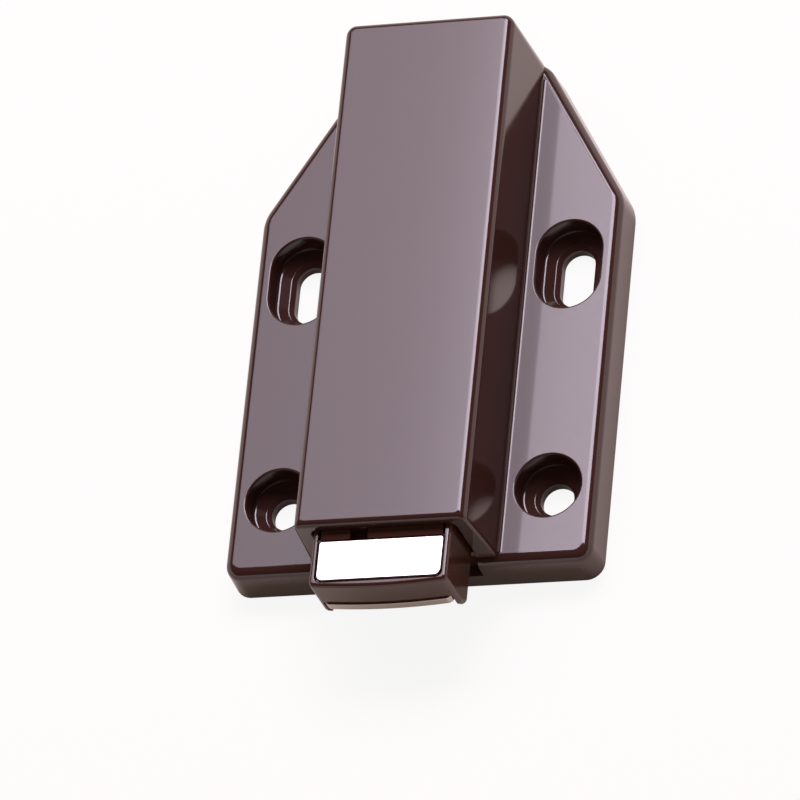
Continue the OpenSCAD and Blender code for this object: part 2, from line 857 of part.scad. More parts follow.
// The compression spring, as one tube swept along its coils
module main_spring() {
    points = [for (ring = [0 : coil_rings]) for (side = [0 : coil_sides - 1]) coil_point(ring, side)];
    skin = [
        for (ring = [0 : coil_rings - 1])
            for (side = [0 : coil_sides - 1])
                let (
                    next = (side + 1) % coil_sides,
                    low = ring * coil_sides,
                    high = low + coil_sides
                )
                [low + side, low + next, high + next, high + side]
    ];
    ends = [
        [for (side = [coil_sides - 1 : -1 : 0]) side],
        [for (side = [0 : coil_sides - 1]) coil_rings * coil_sides + side]
    ];
    color(STEEL)
        polyhedron(points, concat(skin, ends), convexity = 10);
}

// A quarter bend of wire in the plane of Y and Z
module wire_bend(y, z, from_angle) {
    translate([0, y, z])
        rotate([from_angle, 0, 0])
            rotate([0, 90, 0])
                rotate_extrude(angle = 90)
                    translate([bend_mid_r, 0])
                        circle(hook_r);
}

// The bent wire between the cover and the cam: an upright tip, a straight arm and a pivot leg
module hook_wire() {
    color(STEEL) {
        rod_y(hook_r, tip_y + bend_mid_r, pivot_y - bend_mid_r, hook_z);
        translate([0, tip_y, hook_z + bend_mid_r])
            cylinder(r = hook_r, h = tip_top - hook_z - bend_mid_r);
        translate([0, pivot_y, pivot_foot])
            cylinder(r = hook_r, h = hook_z - bend_mid_r - pivot_foot);
        wire_bend(tip_y + bend_mid_r, hook_z + bend_mid_r, -90);
        wire_bend(pivot_y - bend_mid_r, hook_z - bend_mid_r, 90);
    }
}

// The steel strip under the hook wire
module leaf_spring() {
    foot_top = floor_z + leaf_t;
    tip_low = leaf_tip_top - leaf_t;
    color(STEEL)
        difference() {
            translate([-leaf_w / 2, 0, 0])
                rotate([90, 0, 90])
                    linear_extrude(leaf_w)
                        polygon([
                            [leaf_foot_rear, floor_z], [leaf_foot_rear, foot_top],
                            [leaf_foot_front, foot_top], [leaf_tip_y, leaf_tip_top],
                            [leaf_tip_y - leaf_curl_l, leaf_tip_top - leaf_t],
                            [leaf_tip_y - leaf_curl_l, tip_low - leaf_t],
                            [leaf_tip_y, tip_low], [leaf_foot_front, floor_z]
                        ]);
            for (side = [-1, 1])
                translate([side * stake_spacing / 2, stake_y, 0])
                    cylinder(d = stake_d + 2 * stake_gap, h = box_h);
        }
}

housing();
base_cover();
cover_screw_left();
cover_screw_right();
plunger();
upper_pole_plate();
magnet();
lower_pole_plate();
main_spring();
hook_wire();
leaf_spring();
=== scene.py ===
"""Looks of a press release cabinet latch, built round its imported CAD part."""

import math

import bmesh
import bpy
from mathutils import Matrix, Vector


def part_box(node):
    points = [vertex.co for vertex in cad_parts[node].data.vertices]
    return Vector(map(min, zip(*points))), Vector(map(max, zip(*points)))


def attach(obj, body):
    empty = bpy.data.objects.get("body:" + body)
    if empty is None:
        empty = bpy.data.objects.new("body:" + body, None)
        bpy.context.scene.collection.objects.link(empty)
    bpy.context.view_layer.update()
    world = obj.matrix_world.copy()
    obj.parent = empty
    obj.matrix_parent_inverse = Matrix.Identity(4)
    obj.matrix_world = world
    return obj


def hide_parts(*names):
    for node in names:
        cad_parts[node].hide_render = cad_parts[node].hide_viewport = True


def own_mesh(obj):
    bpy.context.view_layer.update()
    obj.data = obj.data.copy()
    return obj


bl_info = {
    "name": "Press release cabinet latch",
    "version": (1, 0, 0),
    "blender": (4, 5, 0),
    "location": "View3D > Sidebar > Latch",
    "description": "Builds the shells, springs, finishes and studio of a press release cabinet latch",
    "category": "Object",
}

MM = 0.001
# Places of the colour sockets on the Mix node
MIX_A, MIX_B, MIX_RESULT = 6, 7, 2
WHITE = (1.0, 1.0, 1.0, 1.0)

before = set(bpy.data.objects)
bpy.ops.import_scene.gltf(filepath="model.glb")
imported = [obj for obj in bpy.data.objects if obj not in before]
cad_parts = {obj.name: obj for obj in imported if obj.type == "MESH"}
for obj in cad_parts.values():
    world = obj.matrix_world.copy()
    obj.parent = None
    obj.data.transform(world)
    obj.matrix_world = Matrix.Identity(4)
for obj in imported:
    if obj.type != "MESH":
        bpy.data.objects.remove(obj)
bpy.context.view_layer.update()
HOUSING_LOW, HOUSING_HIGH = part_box("housing")
PLUNGER_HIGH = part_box("plunger")[1]
PLATE_LOW, PLATE_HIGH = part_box("upper_pole_plate")
LOWER_LOW, LOWER_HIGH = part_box("lower_pole_plate")
SPRING_LOW, SPRING_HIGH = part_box("main_spring")

# Sizes in millimetres that several shapes share
FLANGE_LEAN = 0.3
REAR_LEAN = 0.6
CHANNEL_HALF = 10
REBATE_HALF = 11.4
OPENING_HALF = 9.65
FLOOR_Z = 1.8
POST_X, POST_Y = 7.2, 57.5
SPRING_Z = (SPRING_LOW.z + SPRING_HIGH.z) / 2 / MM
SPRING_RADIUS = (SPRING_HIGH.x - SPRING_LOW.x) / 2 / MM
SPRING_WIRE = 0.8
SPRING_CLEARANCE = 0.4
SPIGOT_RADIUS = SPRING_RADIUS - SPRING_WIRE - SPRING_CLEARANCE
PLATE_CLEARANCE = 0.2

# Height of the soft panels and the corners of each in X and Y, in metres
PANEL_Z = 0.55
KEY_PANEL = ((-0.178, 0.2), (-0.03, 0.42))
RIGHT_PANEL = ((-0.03, 0.22), (0.28, 0.56))
FILL_PANEL = ((-0.228, 0.2), (-0.178, 0.42))
SIDE_PANEL = ((-0.45, 0.2), (-0.228, 0.42))

# Floor of the studio, and the dark ceiling that is only a painted reflection, in millimetres: half width,
# corner radius, underside, upper side
FLOOR_SLAB = (900, 60, -3.02, -0.02)
REFLECTION_CEILING_SLAB = (1600, 200, 700, 710)

# Linear colours of the light, and the plain share of the floor card where it is seen and mirrored
PANEL_COLOUR = (0.96, 0.86, 1.0)
WARM_SKY = (1.0, 0.84, 0.7, 1.0)
CARD_SHOWN, CARD_MIRRORED = 0.9, 0.1

# The point that the camera is set back from, and its shift to its own left and down, in metres
CAMERA_TARGET = (0, 27 * MM, 6 * MM)
CAMERA_LEFT, CAMERA_DOWN = 3.948 * MM, 12.265 * MM


def linear(hex_colour):
    """Linear colour of an sRGB hex value."""
    channels = [int(hex_colour[i : i + 2], 16) / 255 for i in (0, 2, 4)]
    return tuple(c / 12.92 if c <= 0.04045 else ((c + 0.055) / 1.055) ** 2.4 for c in channels)


def length_property(name, description, default):
    """A size in metres that Blender shows in the scene's units."""
    return bpy.props.FloatProperty(
        name=name, description=description, default=default, min=0, unit="LENGTH", precision=5
    )


def number_property(name, description, default):
    """A plain number."""
    return bpy.props.FloatProperty(name=name, description=description, default=default)


def angle_property(name, description, degrees):
    """An angle given in degrees."""
    return bpy.props.FloatProperty(
        name=name, description=description, default=math.radians(degrees), subtype="ANGLE"
    )


def colour_property(name, description, hex_colour):
    """A colour given by its sRGB hex value."""
    return bpy.props.FloatVectorProperty(
        name=name,
        description=description,
        default=linear(hex_colour),
        size=3,
        min=0,
        max=1,
        subtype="COLOR",
    )


class LatchHousingSettings(bpy.types.PropertyGroup):
    """Sizes of the moulded housing."""

    flange_thickness: length_property(
        "Flange thickness", "Height of the flange above its mounting face", 5.8 * MM
    )
    straight_length: length_property(
        "Straight length", "Length of the sides up to the shoulders", 52.9 * MM
    )
    tail_length: length_property("Tail length", "Plain rear end behind the slanted sides", 1.6 * MM)
    corner_radius: length_property(
        "Corner radius", "Radius of the front corners of the flange", 2.4 * MM
    )
    shoulder_radius: length_property(
        "Shoulder radius", "Radius where the sides start to slant", 6 * MM
    )
    edge_radius: length_property(
        "Edge radius", "Radius along the upper edges of the flange", 1.4 * MM
    )
    foot_width: length_property(
        "Box foot width", "Width of the raised box at the mounting face", 25.9 * MM
    )
    top_width: length_property("Box top width", "Width of the raised box at its top", 23 * MM)
    box_setback: length_property(
        "Box setback", "Setback of the box behind the front of the flange", 1.2 * MM
    )
    box_edge_radius: length_property(
        "Box edge radius", "Radius along the upper sides of the box", 1.2 * MM
    )
    box_end_radius: length_property(
        "Box end radius", "Radius along the upper ends of the box", 0.85 * MM
    )
    foot_fillet: length_property("Foot fillet", "Fillet between the box and the flange", 0.5 * MM)
    wall_thickness: length_property("Wall thickness", "Thickness of the outer walls", 1.8 * MM)
    hole_spacing: length_property(
        "Hole spacing", "Distance between the screw holes across the flange", 36.5 * MM
    )
    slot_pitch: length_property(
        "Slot pitch", "Distance from the front holes to the rear slots", 32.0 * MM
    )
    slot_extra: length_property(
        "Slot length", "Length that the slots have beyond their width", 3.8 * MM
    )
    hole_width: length_property("Hole width", "Width of the screw holes and slots", 4.5 * MM)
    well_width: length_property(
        "Well width", "Width of the wells that take the screw heads", 8.8 * MM
    )
    rim_radius: length_property("Rim radius", "Radius round the rims of the screw wells", 0.28 * MM)


class LatchPlungerSettings(bpy.types.PropertyGroup):
    """Sizes of the sliding plunger and the plates on it."""

    nose_width: length_property("Nose width", "Width of the plunger's nose", 18.5 * MM)
    nose_height: length_property("Nose height", "Height of the plunger's nose", 8.6 * MM)
    nose_radius: length_property("Nose radius", "Radius along the upper edges of the nose", 0.5 * MM)
    nose_corner: length_property(
        "Nose corner", "Radius of the upright front corners of the nose", 0.7 * MM
    )
    bow_radius: length_property("Bow radius", "Radius of the bowed front of the nose", 90 * MM)
    rim_thickness: length_property(
        "Rim thickness", "Thickness of the rim in front of the bright plate", 1.1 * MM
    )
    plate_radius: length_property(
        "Plate radius", "Radius of the front corners of the plates", 0.9 * MM
    )
    wire_diameter: length_property(
        "Spring wire", "Wire diameter of the main spring", SPRING_WIRE * MM
    )


class LatchFinishSettings(bpy.types.PropertyGroup):
    """Colours of the materials."""

    housing_colour: colour_property("Housing", "Colour of the moulded housing", "3f2723")
    plunger_colour: colour_property("Plunger", "Colour of the moulded plunger", "452820")
    nickel_colour: colour_property("Nickel", "Colour of the bright plate", "dcd8d2")
    steel_colour: colour_property("Steel", "Colour of bare steel", "b9b2aa")
    zinc_colour: colour_property("Zinc", "Colour of zinc plated screws", "c4c8cc")
    ferrite_colour: colour_property("Ferrite", "Colour of the magnet", "34343a")
    floor_colour: colour_property("Floor", "Colour of the studio floor", "f7ece1")


class LatchStudioSettings(bpy.types.PropertyGroup):
    """Lights and camera of the studio."""

    key_level: number_property("Key level", "Brightness of the large soft panel", 8.2)
    right_share: number_property(
        "Right share", "Brightness of the right panel against the key panel", 1.4
    )
    fill_level: number_property("Fill level", "Brightness of the soft panel beside it", 3.9)
    side_share: number_property(
        "Side share", "Brightness of the side panel against the fill panel", 0.88
    )
    sky_level: number_property("Sky level", "Strength of the light from all round", 0.29)
    azimuth: angle_property("Azimuth", "Side that the camera looks from", 34.96)
    elevation: angle_property("Elevation", "Height that the camera looks from", 57.31)
    roll: angle_property("Roll", "Turn of the camera about its own axis", -33.92)
    distance: length_property("Distance", "Distance from the camera to the latch", 1112.36 * MM)
    lens: number_property("Lens", "Focal length in millimetres", 385.32)


# Shapes. These functions work in millimetres, and finish_piece turns them to metres.
# A cutter reaches a little way past each face that it opens.


def inset_polygon(corners, insets):
    """The corners of an anticlockwise polygon after each side has moved in by its inset."""
    sides = []
    for i, corner in enumerate(corners):
        along = (Vector(corners[(i + 1) % len(corners)]) - Vector(corner)).normalized()
        sides.append((Vector(corner) + Vector((-along.y, along.x)) * insets[i], along))
    moved = []
    for i in range(len(corners)):
        (p, u), (q, v) = sides[i - 1], sides[i]
        moved.append(p + u * ((q - p).cross(v) / u.cross(v)))
    return moved


def rounded_polygon(corners, radii, steps=8):
    """Points round an anticlockwise convex polygon with a radius at each corner."""
    points = []
    for i, radius in enumerate(radii):
        corner = Vector(corners[i])
        if radius <= 0:
            points.append(corner)
            continue
        back = (Vector(corners[i - 1]) - corner).normalized()
        ahead = (Vector(corners[(i + 1) % len(corners)]) - corner).normalized()
        half = back.angle(ahead) / 2
        centre = corner + (back + ahead).normalized() * (radius / math.sin(half))
        spoke = corner + back * (radius / math.tan(half)) - centre
        for step in range(steps + 1):
            points.append(centre + Matrix.Rotation((math.pi - 2 * half) * step / steps, 2) @ spoke)
    return points


def side_inset(z, height, lean, radius):
    """How far a leaning side with a rounded upper edge lies inside its foot, at height z."""
    slope = math.hypot(height, lean)
    centre_z = height - radius
    centre_in = (radius * slope + centre_z * lean) / height
    if z <= centre_z + radius * lean / slope:
        return lean * z / height
    return centre_in - math.sqrt(max(radius**2 - (z - centre_z) ** 2, 0))


def fillet_levels(height, radius, steps=8):
    """Heights at which a rounded upper edge is cut into rings, from its foot to its top."""
    return [height - radius + radius * math.sin(math.pi / 2 * i / steps) for i in range(steps + 1)]


def make_solid(name, rings):
    """A closed solid through rings of points, each with the same count."""
    mesh = bmesh.new()
    rows = [[mesh.verts.new(point) for point in ring] for ring in rings]
    count = len(rows[0])
    for low, high in zip(rows, rows[1:]):
        for i in range(count):
            mesh.faces.new((low[i], low[(i + 1) % count], high[(i + 1) % count], high[i]))
    mesh.faces.new(list(reversed(rows[0])))
    mesh.faces.new(rows[-1])
    bmesh.ops.recalc_face_normals(mesh, faces=mesh.faces)
    data = bpy.data.meshes.new(name)
    mesh.to_mesh(data)
    mesh.free()
    piece = bpy.data.objects.new(name, data)
    bpy.context.scene.collection.objects.link(piece)
    return piece


def upright(points, z):
    """An outline in X and Y, placed at height z."""
    return [(x, y, z) for x, y in points]


def facing_front(points, y):
    """An outline in X and Z, placed at y."""
    return [(x, y, z) for x, z in points]


def make_block(name, low, high):
    """A box between two corners."""
    outline = [(low[0], low[1]), (high[0], low[1]), (high[0], high[1]), (low[0], high[1])]
    return make_solid(name, [upright(outline, low[2]), upright(outline, high[2])])


def bowed_outline(half, front, rear, bow, corner, steps=6):
    """An outline with a bowed front and rounded front corners, anticlockwise."""
    middle_y = front + bow
    reach = half - corner
    lean = math.asin(reach / (bow - corner))
    knuckle_y = middle_y - (bow - corner) * math.cos(lean)
    right = []
    for step in range(steps + 1):
        turn = lean * step / steps
        right.append((bow * math.sin(turn), middle_y - bow * math.cos(turn)))
    for step in range(1, steps + 1):
        turn = lean + (math.pi / 2 - lean) * step / steps
        right.append((reach + corner * math.sin(turn), knuckle_y - corner * math.cos(turn)))
    left = [(-x, y) for x, y in reversed(right[1:])]
    return [*left, *right, (half, rear), (-half, rear)]


def circle_points(x, y, radius, steps=48):
    """Points round a circle."""
    angles = [2 * math.pi * i / steps for i in range(steps)]
    return [(x + radius * math.cos(a), y + radius * math.sin(a)) for a in angles]


def slot_points(x, y, radius, extra, steps=32):
    """Points round a slot that runs along Y, or round a circle where extra is 0."""
    points = []
    for end in (0, 1):
        for i in range(steps + (extra > 0)):
            angle = math.pi * (end + i / steps)
            middle_y = y + extra * (0.5 - end)
            points.append((x + radius * math.cos(angle), middle_y + radius * math.sin(angle)))
    return points


def make_rod_y(name, radius, from_y, to_y, z):
    """A round bar along Y."""
    outline = circle_points(0, z, radius)
    return make_solid(name, [facing_front(outline, from_y), facing_front(outline, to_y)])


def combine(piece, tool, operation):
    """Cuts, joins or intersects piece with tool, which is used up."""
    change = piece.modifiers.new(operation, "BOOLEAN")
    change.operation = operation
    change.solver = "EXACT"
    change.object = tool
    depsgraph = bpy.context.evaluated_depsgraph_get()
    depsgraph.update()
    made = bpy.data.meshes.new_from_object(piece.evaluated_get(depsgraph))
    piece.modifiers.clear()
    old = piece.data
    piece.data = made
    made.name = old.name
    bpy.data.meshes.remove(old)
    used = tool.data
    bpy.data.objects.remove(tool)
    bpy.data.meshes.remove(used)
    if not made.polygons:
        raise RuntimeError(f"{piece.name} came out empty after {operation}")


def finish_piece(piece, material, body, nodes=(), sharp_angle=32.0):
    """Turns a piece to metres, shades it, and ties it to its CAD body, slot and nodes."""
    piece.data.transform(Matrix.Scale(MM, 4))
    for face in piece.data.polygons:
        face.use_smooth = True
    piece.data.set_sharp_from_angle(angle=math.radians(sharp_angle))
    weighted = piece.modifiers.new("weighted_normals", "WEIGHTED_NORMAL")
    weighted.keep_sharp = True
    piece.data.materials.clear()
    piece.data.materials.append(material)
    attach(piece, body)
    if nodes:
        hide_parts(*nodes)
    return piece


# Materials


def add_node(tree, kind, settings=None, links=None):
    """Adds a shader node, sets its values or attributes, and links its inputs."""
    node = tree.nodes.new(kind)
    for key, value in (settings or {}).items():
        if isinstance(key, int) or key in node.inputs:
            node.inputs[key].default_value = value
        else:
            setattr(node, key, value)
    for key, socket in (links or {}).items():
        tree.links.new(socket, node.inputs[key])
    return node


def new_material(name):
    """An empty material with an output node, and its node tree."""
    material = bpy.data.materials.new(name)
    material.use_nodes = True
    material.node_tree.nodes.clear()
    return material, material.node_tree


def per_metre(size_mm):
    """Texture scale that makes a pattern repeat about once in a size given in millimetres."""
    return 1 / (size_mm * MM)


def polished_abs(name, colour, roughness):
    """Injection moulded ABS from a polished tool: glossy, with faint flow marks that bend reflections."""
    material, tree = new_material(name)
    place = add_node(tree, "ShaderNodeTexCoord").outputs["Object"]
    flow = add_node(
        tree,
        "ShaderNodeTexNoise",
        {"Scale": per_metre(7), "Detail": 2.0, "Roughness": 0.4},
        {"Vector": place},
    )
    haze = add_node(
        tree,
        "ShaderNodeTexNoise",
        {"Scale": per_metre(0.6), "Detail": 3.0},
        {"Vector": place},
    )
    rough = add_node(
        tree,
        "ShaderNodeMapRange",
        {"From Min": 0.3, "From Max": 0.7, "To Min": roughness * 0.88, "To Max": roughness * 1.12},
        {"Value": haze.outputs["Fac"]},
    )
    tint = add_node(
        tree,
        "ShaderNodeMix",
        {
            "data_type": "RGBA",
            MIX_A: (*[c * 0.95 for c in colour], 1.0),
            MIX_B: (*[c * 1.05 for c in colour], 1.0),
        },
        {"Factor": flow.outputs["Fac"]},
    )
    wave = add_node(
        tree,
        "ShaderNodeBump",
        {"Strength": 0.1, "Distance": 0.02 * MM},
        {"Height": flow.outputs["Fac"]},
    )
    shader = add_node(
        tree,
        "ShaderNodeBsdfPrincipled",
        {"IOR": 1.54, "Metallic": 0.0},
        {
            "Base Color": tint.outputs[MIX_RESULT],
            "Roughness": rough.outputs["Result"],
            "Normal": wave.outputs["Normal"],
        },
    )
    add_node(tree, "ShaderNodeOutputMaterial", None, {"Surface": shader.outputs["BSDF"]})
    return material


def metal(name, colour, roughness, grain_mm, stretch):
    """A metal with a grain that is drawn out along one way, as rolling, drawing or grinding leaves it."""
    material, tree = new_material(name)
    place = add_node(tree, "ShaderNodeTexCoord").outputs["Object"]
    drawn = add_node(tree, "ShaderNodeMapping", {"Scale": stretch}, {"Vector": place})
    grain = add_node(
        tree,
        "ShaderNodeTexNoise",
        {"Scale": per_metre(grain_mm), "Detail": 4.0},
        {"Vector": drawn.outputs["Vector"]},
    )
    rough = add_node(
        tree,
        "ShaderNodeMapRange",
        {"From Min": 0.3, "From Max": 0.7, "To Min": roughness * 0.75, "To Max": roughness * 1.25},
        {"Value": grain.outputs["Fac"]},
    )
    lines = add_node(
        tree, "ShaderNodeBump", {"Strength": 0.25, "Distance": 0.01 * MM}, {"Height": grain.outputs["Fac"]}
    )
    shader = add_node(
        tree,
        "ShaderNodeBsdfPrincipled",
        {"Base Color": (*colour, 1.0), "Metallic": 1.0},
        {"Roughness": rough.outputs["Result"], "Normal": lines.outputs["Normal"]},
    )
    add_node(tree, "ShaderNodeOutputMaterial", None, {"Surface": shader.outputs["BSDF"]})
    return material


def dress_node(node, material):
    """Gives a CAD node that is shown as it is its material and slot."""
    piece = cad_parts[node]
    for holder in piece.material_slots:
        holder.material = material
    if not piece.material_slots:
        piece.data.materials.append(material)


# Housing


def mm(value):
    """A size in metres, in millimetres."""
    return value / MM


def flange_solid(s):
    """The flat flange: house-shaped, with leaning sides and corners that tighten upwards."""
    half, top = mm(HOUSING_HIGH.x), mm(s.flange_thickness)
    front, foot, radius = mm(HOUSING_LOW.y), mm(s.foot_width) / 2, mm(s.edge_radius)
    shoulder, slant_end = front + mm(s.straight_length), mm(HOUSING_HIGH.y - s.tail_length)
    corner, turn, tail_turn = mm(s.corner_radius), mm(s.shoulder_radius), 3
    corner_tightening, turn_tightening = 0.8, 2.2
    corners = [
        (-half, front),
        (half, front),
        (half, shoulder),
        (foot, slant_end),
        (-foot, slant_end),
        (-half, shoulder),
    ]
    rings = []
    for z in [0, *fillet_levels(top, radius)]:
        inset = side_inset(z, top, FLANGE_LEAN, radius)
        front_turn, side_turn = corner - corner_tightening * inset, turn - turn_tightening * inset
        radii = [front_turn, front_turn, side_turn, tail_turn, tail_turn, side_turn]
        moved = inset_polygon(corners, [inset, inset, inset, 0, inset, inset])
        outline = rounded_polygon(moved, radii, 12)
        rings.append(upright(outline, z))
    return make_solid("housing_shell", rings)


def box_solid(s):
    """The raised box: tapered across, with rounded upper edges and rear corners that tighten upwards."""
    height, end_radius, side_radius = mm(HOUSING_HIGH.z), mm(s.box_end_radius), mm(s.box_edge_radius)
    front_corner, rear_corner, tightening = 0.5, 3.9, 0.145
    foot, front, rear = mm(s.foot_width) / 2, mm(HOUSING_LOW.y + s.box_setback), mm(HOUSING_HIGH.y)
    lean = foot - mm(s.top_width) / 2
    corners = [(-foot, front), (foot, front), (foot, rear), (-foot, rear)]
    levels = sorted({0, *fillet_levels(height, side_radius), *fillet_levels(height, end_radius)})
    rings = []
    for z in levels:
        side = side_inset(z, height, lean, side_radius)
        ends = [side_inset(z, height, way, end_radius) for way in (0, REAR_LEAN)]
        past_edge = max(side - lean * z / height, 0)
        rear_radius = max(rear_corner - tightening * z - past_edge, front_corner)
        outline = rounded_polygon(
            inset_polygon(corners, [ends[0], side, ends[1], side]),
            [front_corner, front_corner, rear_radius, rear_radius],
            8,
        )
        rings.append(upright(outline, z))
    return make_solid("box", rings)


def foot_fillet(s, side):
    """The small hollow fillet where one long wall of the box stands on the flange."""
    top, radius, lean = mm(s.flange_thickness), mm(s.foot_fillet), mm(s.foot_width - s.top_width) / 2
    front_gap, rear_gap, sunk, bite, overlap, steps = 0.6, 2.8, 0.8, 0.5, 0.015, 6
    front = mm(HOUSING_LOW.y + s.box_setback) + front_gap
    rear = mm(HOUSING_HIGH.y - s.tail_length) - rear_gap
    wall_low, wall_high = [
        mm(s.foot_width) / 2 - lean * z / mm(HOUSING_HIGH.z) for z in (top, top + radius)
    ]
    outline = [(wall_low - bite, top - sunk), (wall_low + radius, top - sunk)]
    for step in range(steps + 1):
        turn = math.pi / 2 * step / steps
        out = radius * (1 - math.sin(turn)) - overlap * step / steps
        wall = wall_low + (wall_high - wall_low) * step / steps
        outline.append((wall + out, top + radius * (1 - math.cos(turn))))
    outline.append((wall_high - bite, top + radius))
    outline = [(x * side, z) for x, z in outline]
    return make_solid("foot_fillet", [facing_front(outline, front), facing_front(outline, rear)])


def screw_well(s, x, y, extra):
    """A cutter for one screw hole: through hole, cone, dished seat, well and rounded rim."""
    top, rim = mm(s.flange_thickness), mm(s.rim_radius)
    well, hole = mm(s.well_width) / 2, mm(s.hole_width) / 2
    mouth, seat, lip, wall_turn, dish = hole + 0.5, 1.9, 0.16, 0.35, 0.75
    profile = [(hole, -2), (hole, seat - lip - (mouth - lip - hole))]
    profile += round_turn(mouth, seat, lip, math.pi / 4, 5)
    # Narrow facets at both ends keep the shading of the seat on its own slope
    for share in (0.04, 0.96):
        profile.append((mouth + lip + share * (well - wall_turn - mouth - lip), seat + share * dish))
    for i in range(7):
        turn = math.pi / 2 * i / 6
        rise = seat + dish + wall_turn * (1 - math.cos(turn))
        profile.append((well - wall_turn * (1 - math.sin(turn)), rise))
    for i in range(9):
        turn = math.pi / 2 * i / 8
        profile.append((well + rim * (1 - math.cos(turn)), top - rim * (1 - math.sin(turn))))
    profile.append((well + rim, top + 2))
    return make_solid("well", [upright(slot_points(x, y, r, extra), z) for r, z in profile])


def round_turn(radius, height, size, slope, steps):
    """Profile points of a small rounding from a cone of the given slope up to a flat seat at a height."""
    points = []
    for i in range(steps + 1):
        turn = slope * (1 - i / steps)
        points.append((radius + size * (1 - math.sin(turn)), height - size * (1 - math.cos(turn))))
    return points


def wing_hollow(s, side):
    """A cutter for the hollow under one wing, around its screw bosses and ribs."""
    skin, boss_wall, rib, gap = 1.9, 1.4, 1.2, 0.05
    wall, roof = mm(s.wall_thickness), mm(s.flange_thickness) - skin
    boss = mm(s.well_width) / 2 + boss_wall
    half, foot, front = mm(HOUSING_HIGH.x), mm(s.foot_width) / 2, mm(HOUSING_LOW.y)
    shoulder, slant_end = front + mm(s.straight_length), mm(HOUSING_HIGH.y - s.tail_length)
    x, pitch, extra = mm(s.hole_spacing) / 2, mm(s.slot_pitch), mm(s.slot_extra)
    run, rise = half - foot, slant_end - shoulder
    slant = math.hypot(run, rise)
    outer, inner = half - wall, foot + gap
    outline = [
        (inner, front + wall),
        (outer, front + wall),
        (outer, shoulder + wall * (rise - slant) / run),
        (inner, shoulder + ((outer - inner + wall) * rise - wall * slant) / run),
    ]
    keep = [slot_points(x, 0, boss, 0), slot_points(x, pitch, boss, extra)]
    for y in (pitch / 2, pitch + extra / 2 + boss + rib):
        keep.append([(0, y - rib / 2), (half, y - rib / 2), (half, y + rib / 2), (0, y + rib / 2)])
    outlines = [[(px * side, py) for px, py in shape] for shape in [outline, *keep]]
    cutter = make_solid("hollow", [upright(outlines[0], -2), upright(outlines[0], roof)])
    for shape in outlines[1:]:
        combine(cutter, make_solid("boss", [upright(shape, -3), upright(shape, roof + 1)]), "DIFFERENCE")
    return cutter


def channel_cutter(front, rear, roof):
    """A cutter for the channel that the plunger slides in, around the spring wall and the screw posts."""
    wall_front, wall_rear, keeper_z = mm(SPRING_HIGH.y) + 0.05, mm(SPRING_HIGH.y) + 2.05, 3.7
    wall_half, spigot_length, spigot_root = 12, 6, 1
    post_radius, web_half, past_wall = 2.6, 0.95, 11
    cutter = make_block("channel", (-CHANNEL_HALF, front, -2), (CHANNEL_HALF, rear, roof))
    wall = make_block("spring_wall", (-wall_half, wall_front, keeper_z), (wall_half, wall_rear, roof + 1))
    combine(cutter, wall, "DIFFERENCE")
    spigot_from, spigot_to = wall_front - spigot_length, wall_rear - spigot_root
    spigot = make_rod_y("spigot", SPIGOT_RADIUS, spigot_from, spigot_to, SPRING_Z)
    combine(cutter, spigot, "DIFFERENCE")
    for side in (-1, 1):
        post = circle_points(side * POST_X, POST_Y, post_radius)
        combine(cutter, make_solid("post", [upright(post, FLOOR_Z), upright(post, roof + 1)]), "DIFFERENCE")
        low, high = sorted((side * POST_X, side * past_wall))
        web = make_block("web", (low, POST_Y - web_half, FLOOR_Z), (high, POST_Y + web_half, roof + 1))
        combine(cutter, web, "DIFFERENCE")
    return cutter


def front_opening(front, roof):
    """A cutter for the plunger's opening, slightly rounded where it meets the front."""
    edge, sill, inward, outward = 0.2, 6.6, 4, 3
    corners = [(-OPENING_HALF, sill), (OPENING_HALF, sill), (OPENING_HALF, roof), (-OPENING_HALF, roof)]
    rounding = [(edge, 0), (edge * 0.6, edge * 0.1), (edge * 0.3, edge * 0.35), (0, edge)]
    rings = []
    for depth, flare in [(inward, 0), *rounding, (-outward, edge)]:
        outline = rounded_polygon(inset_polygon(corners, [0, -flare, -flare, -flare]), [0, 0, 1.2, 1.2])
        rings.append(facing_front(outline, front + depth))
    return make_solid("opening", rings)


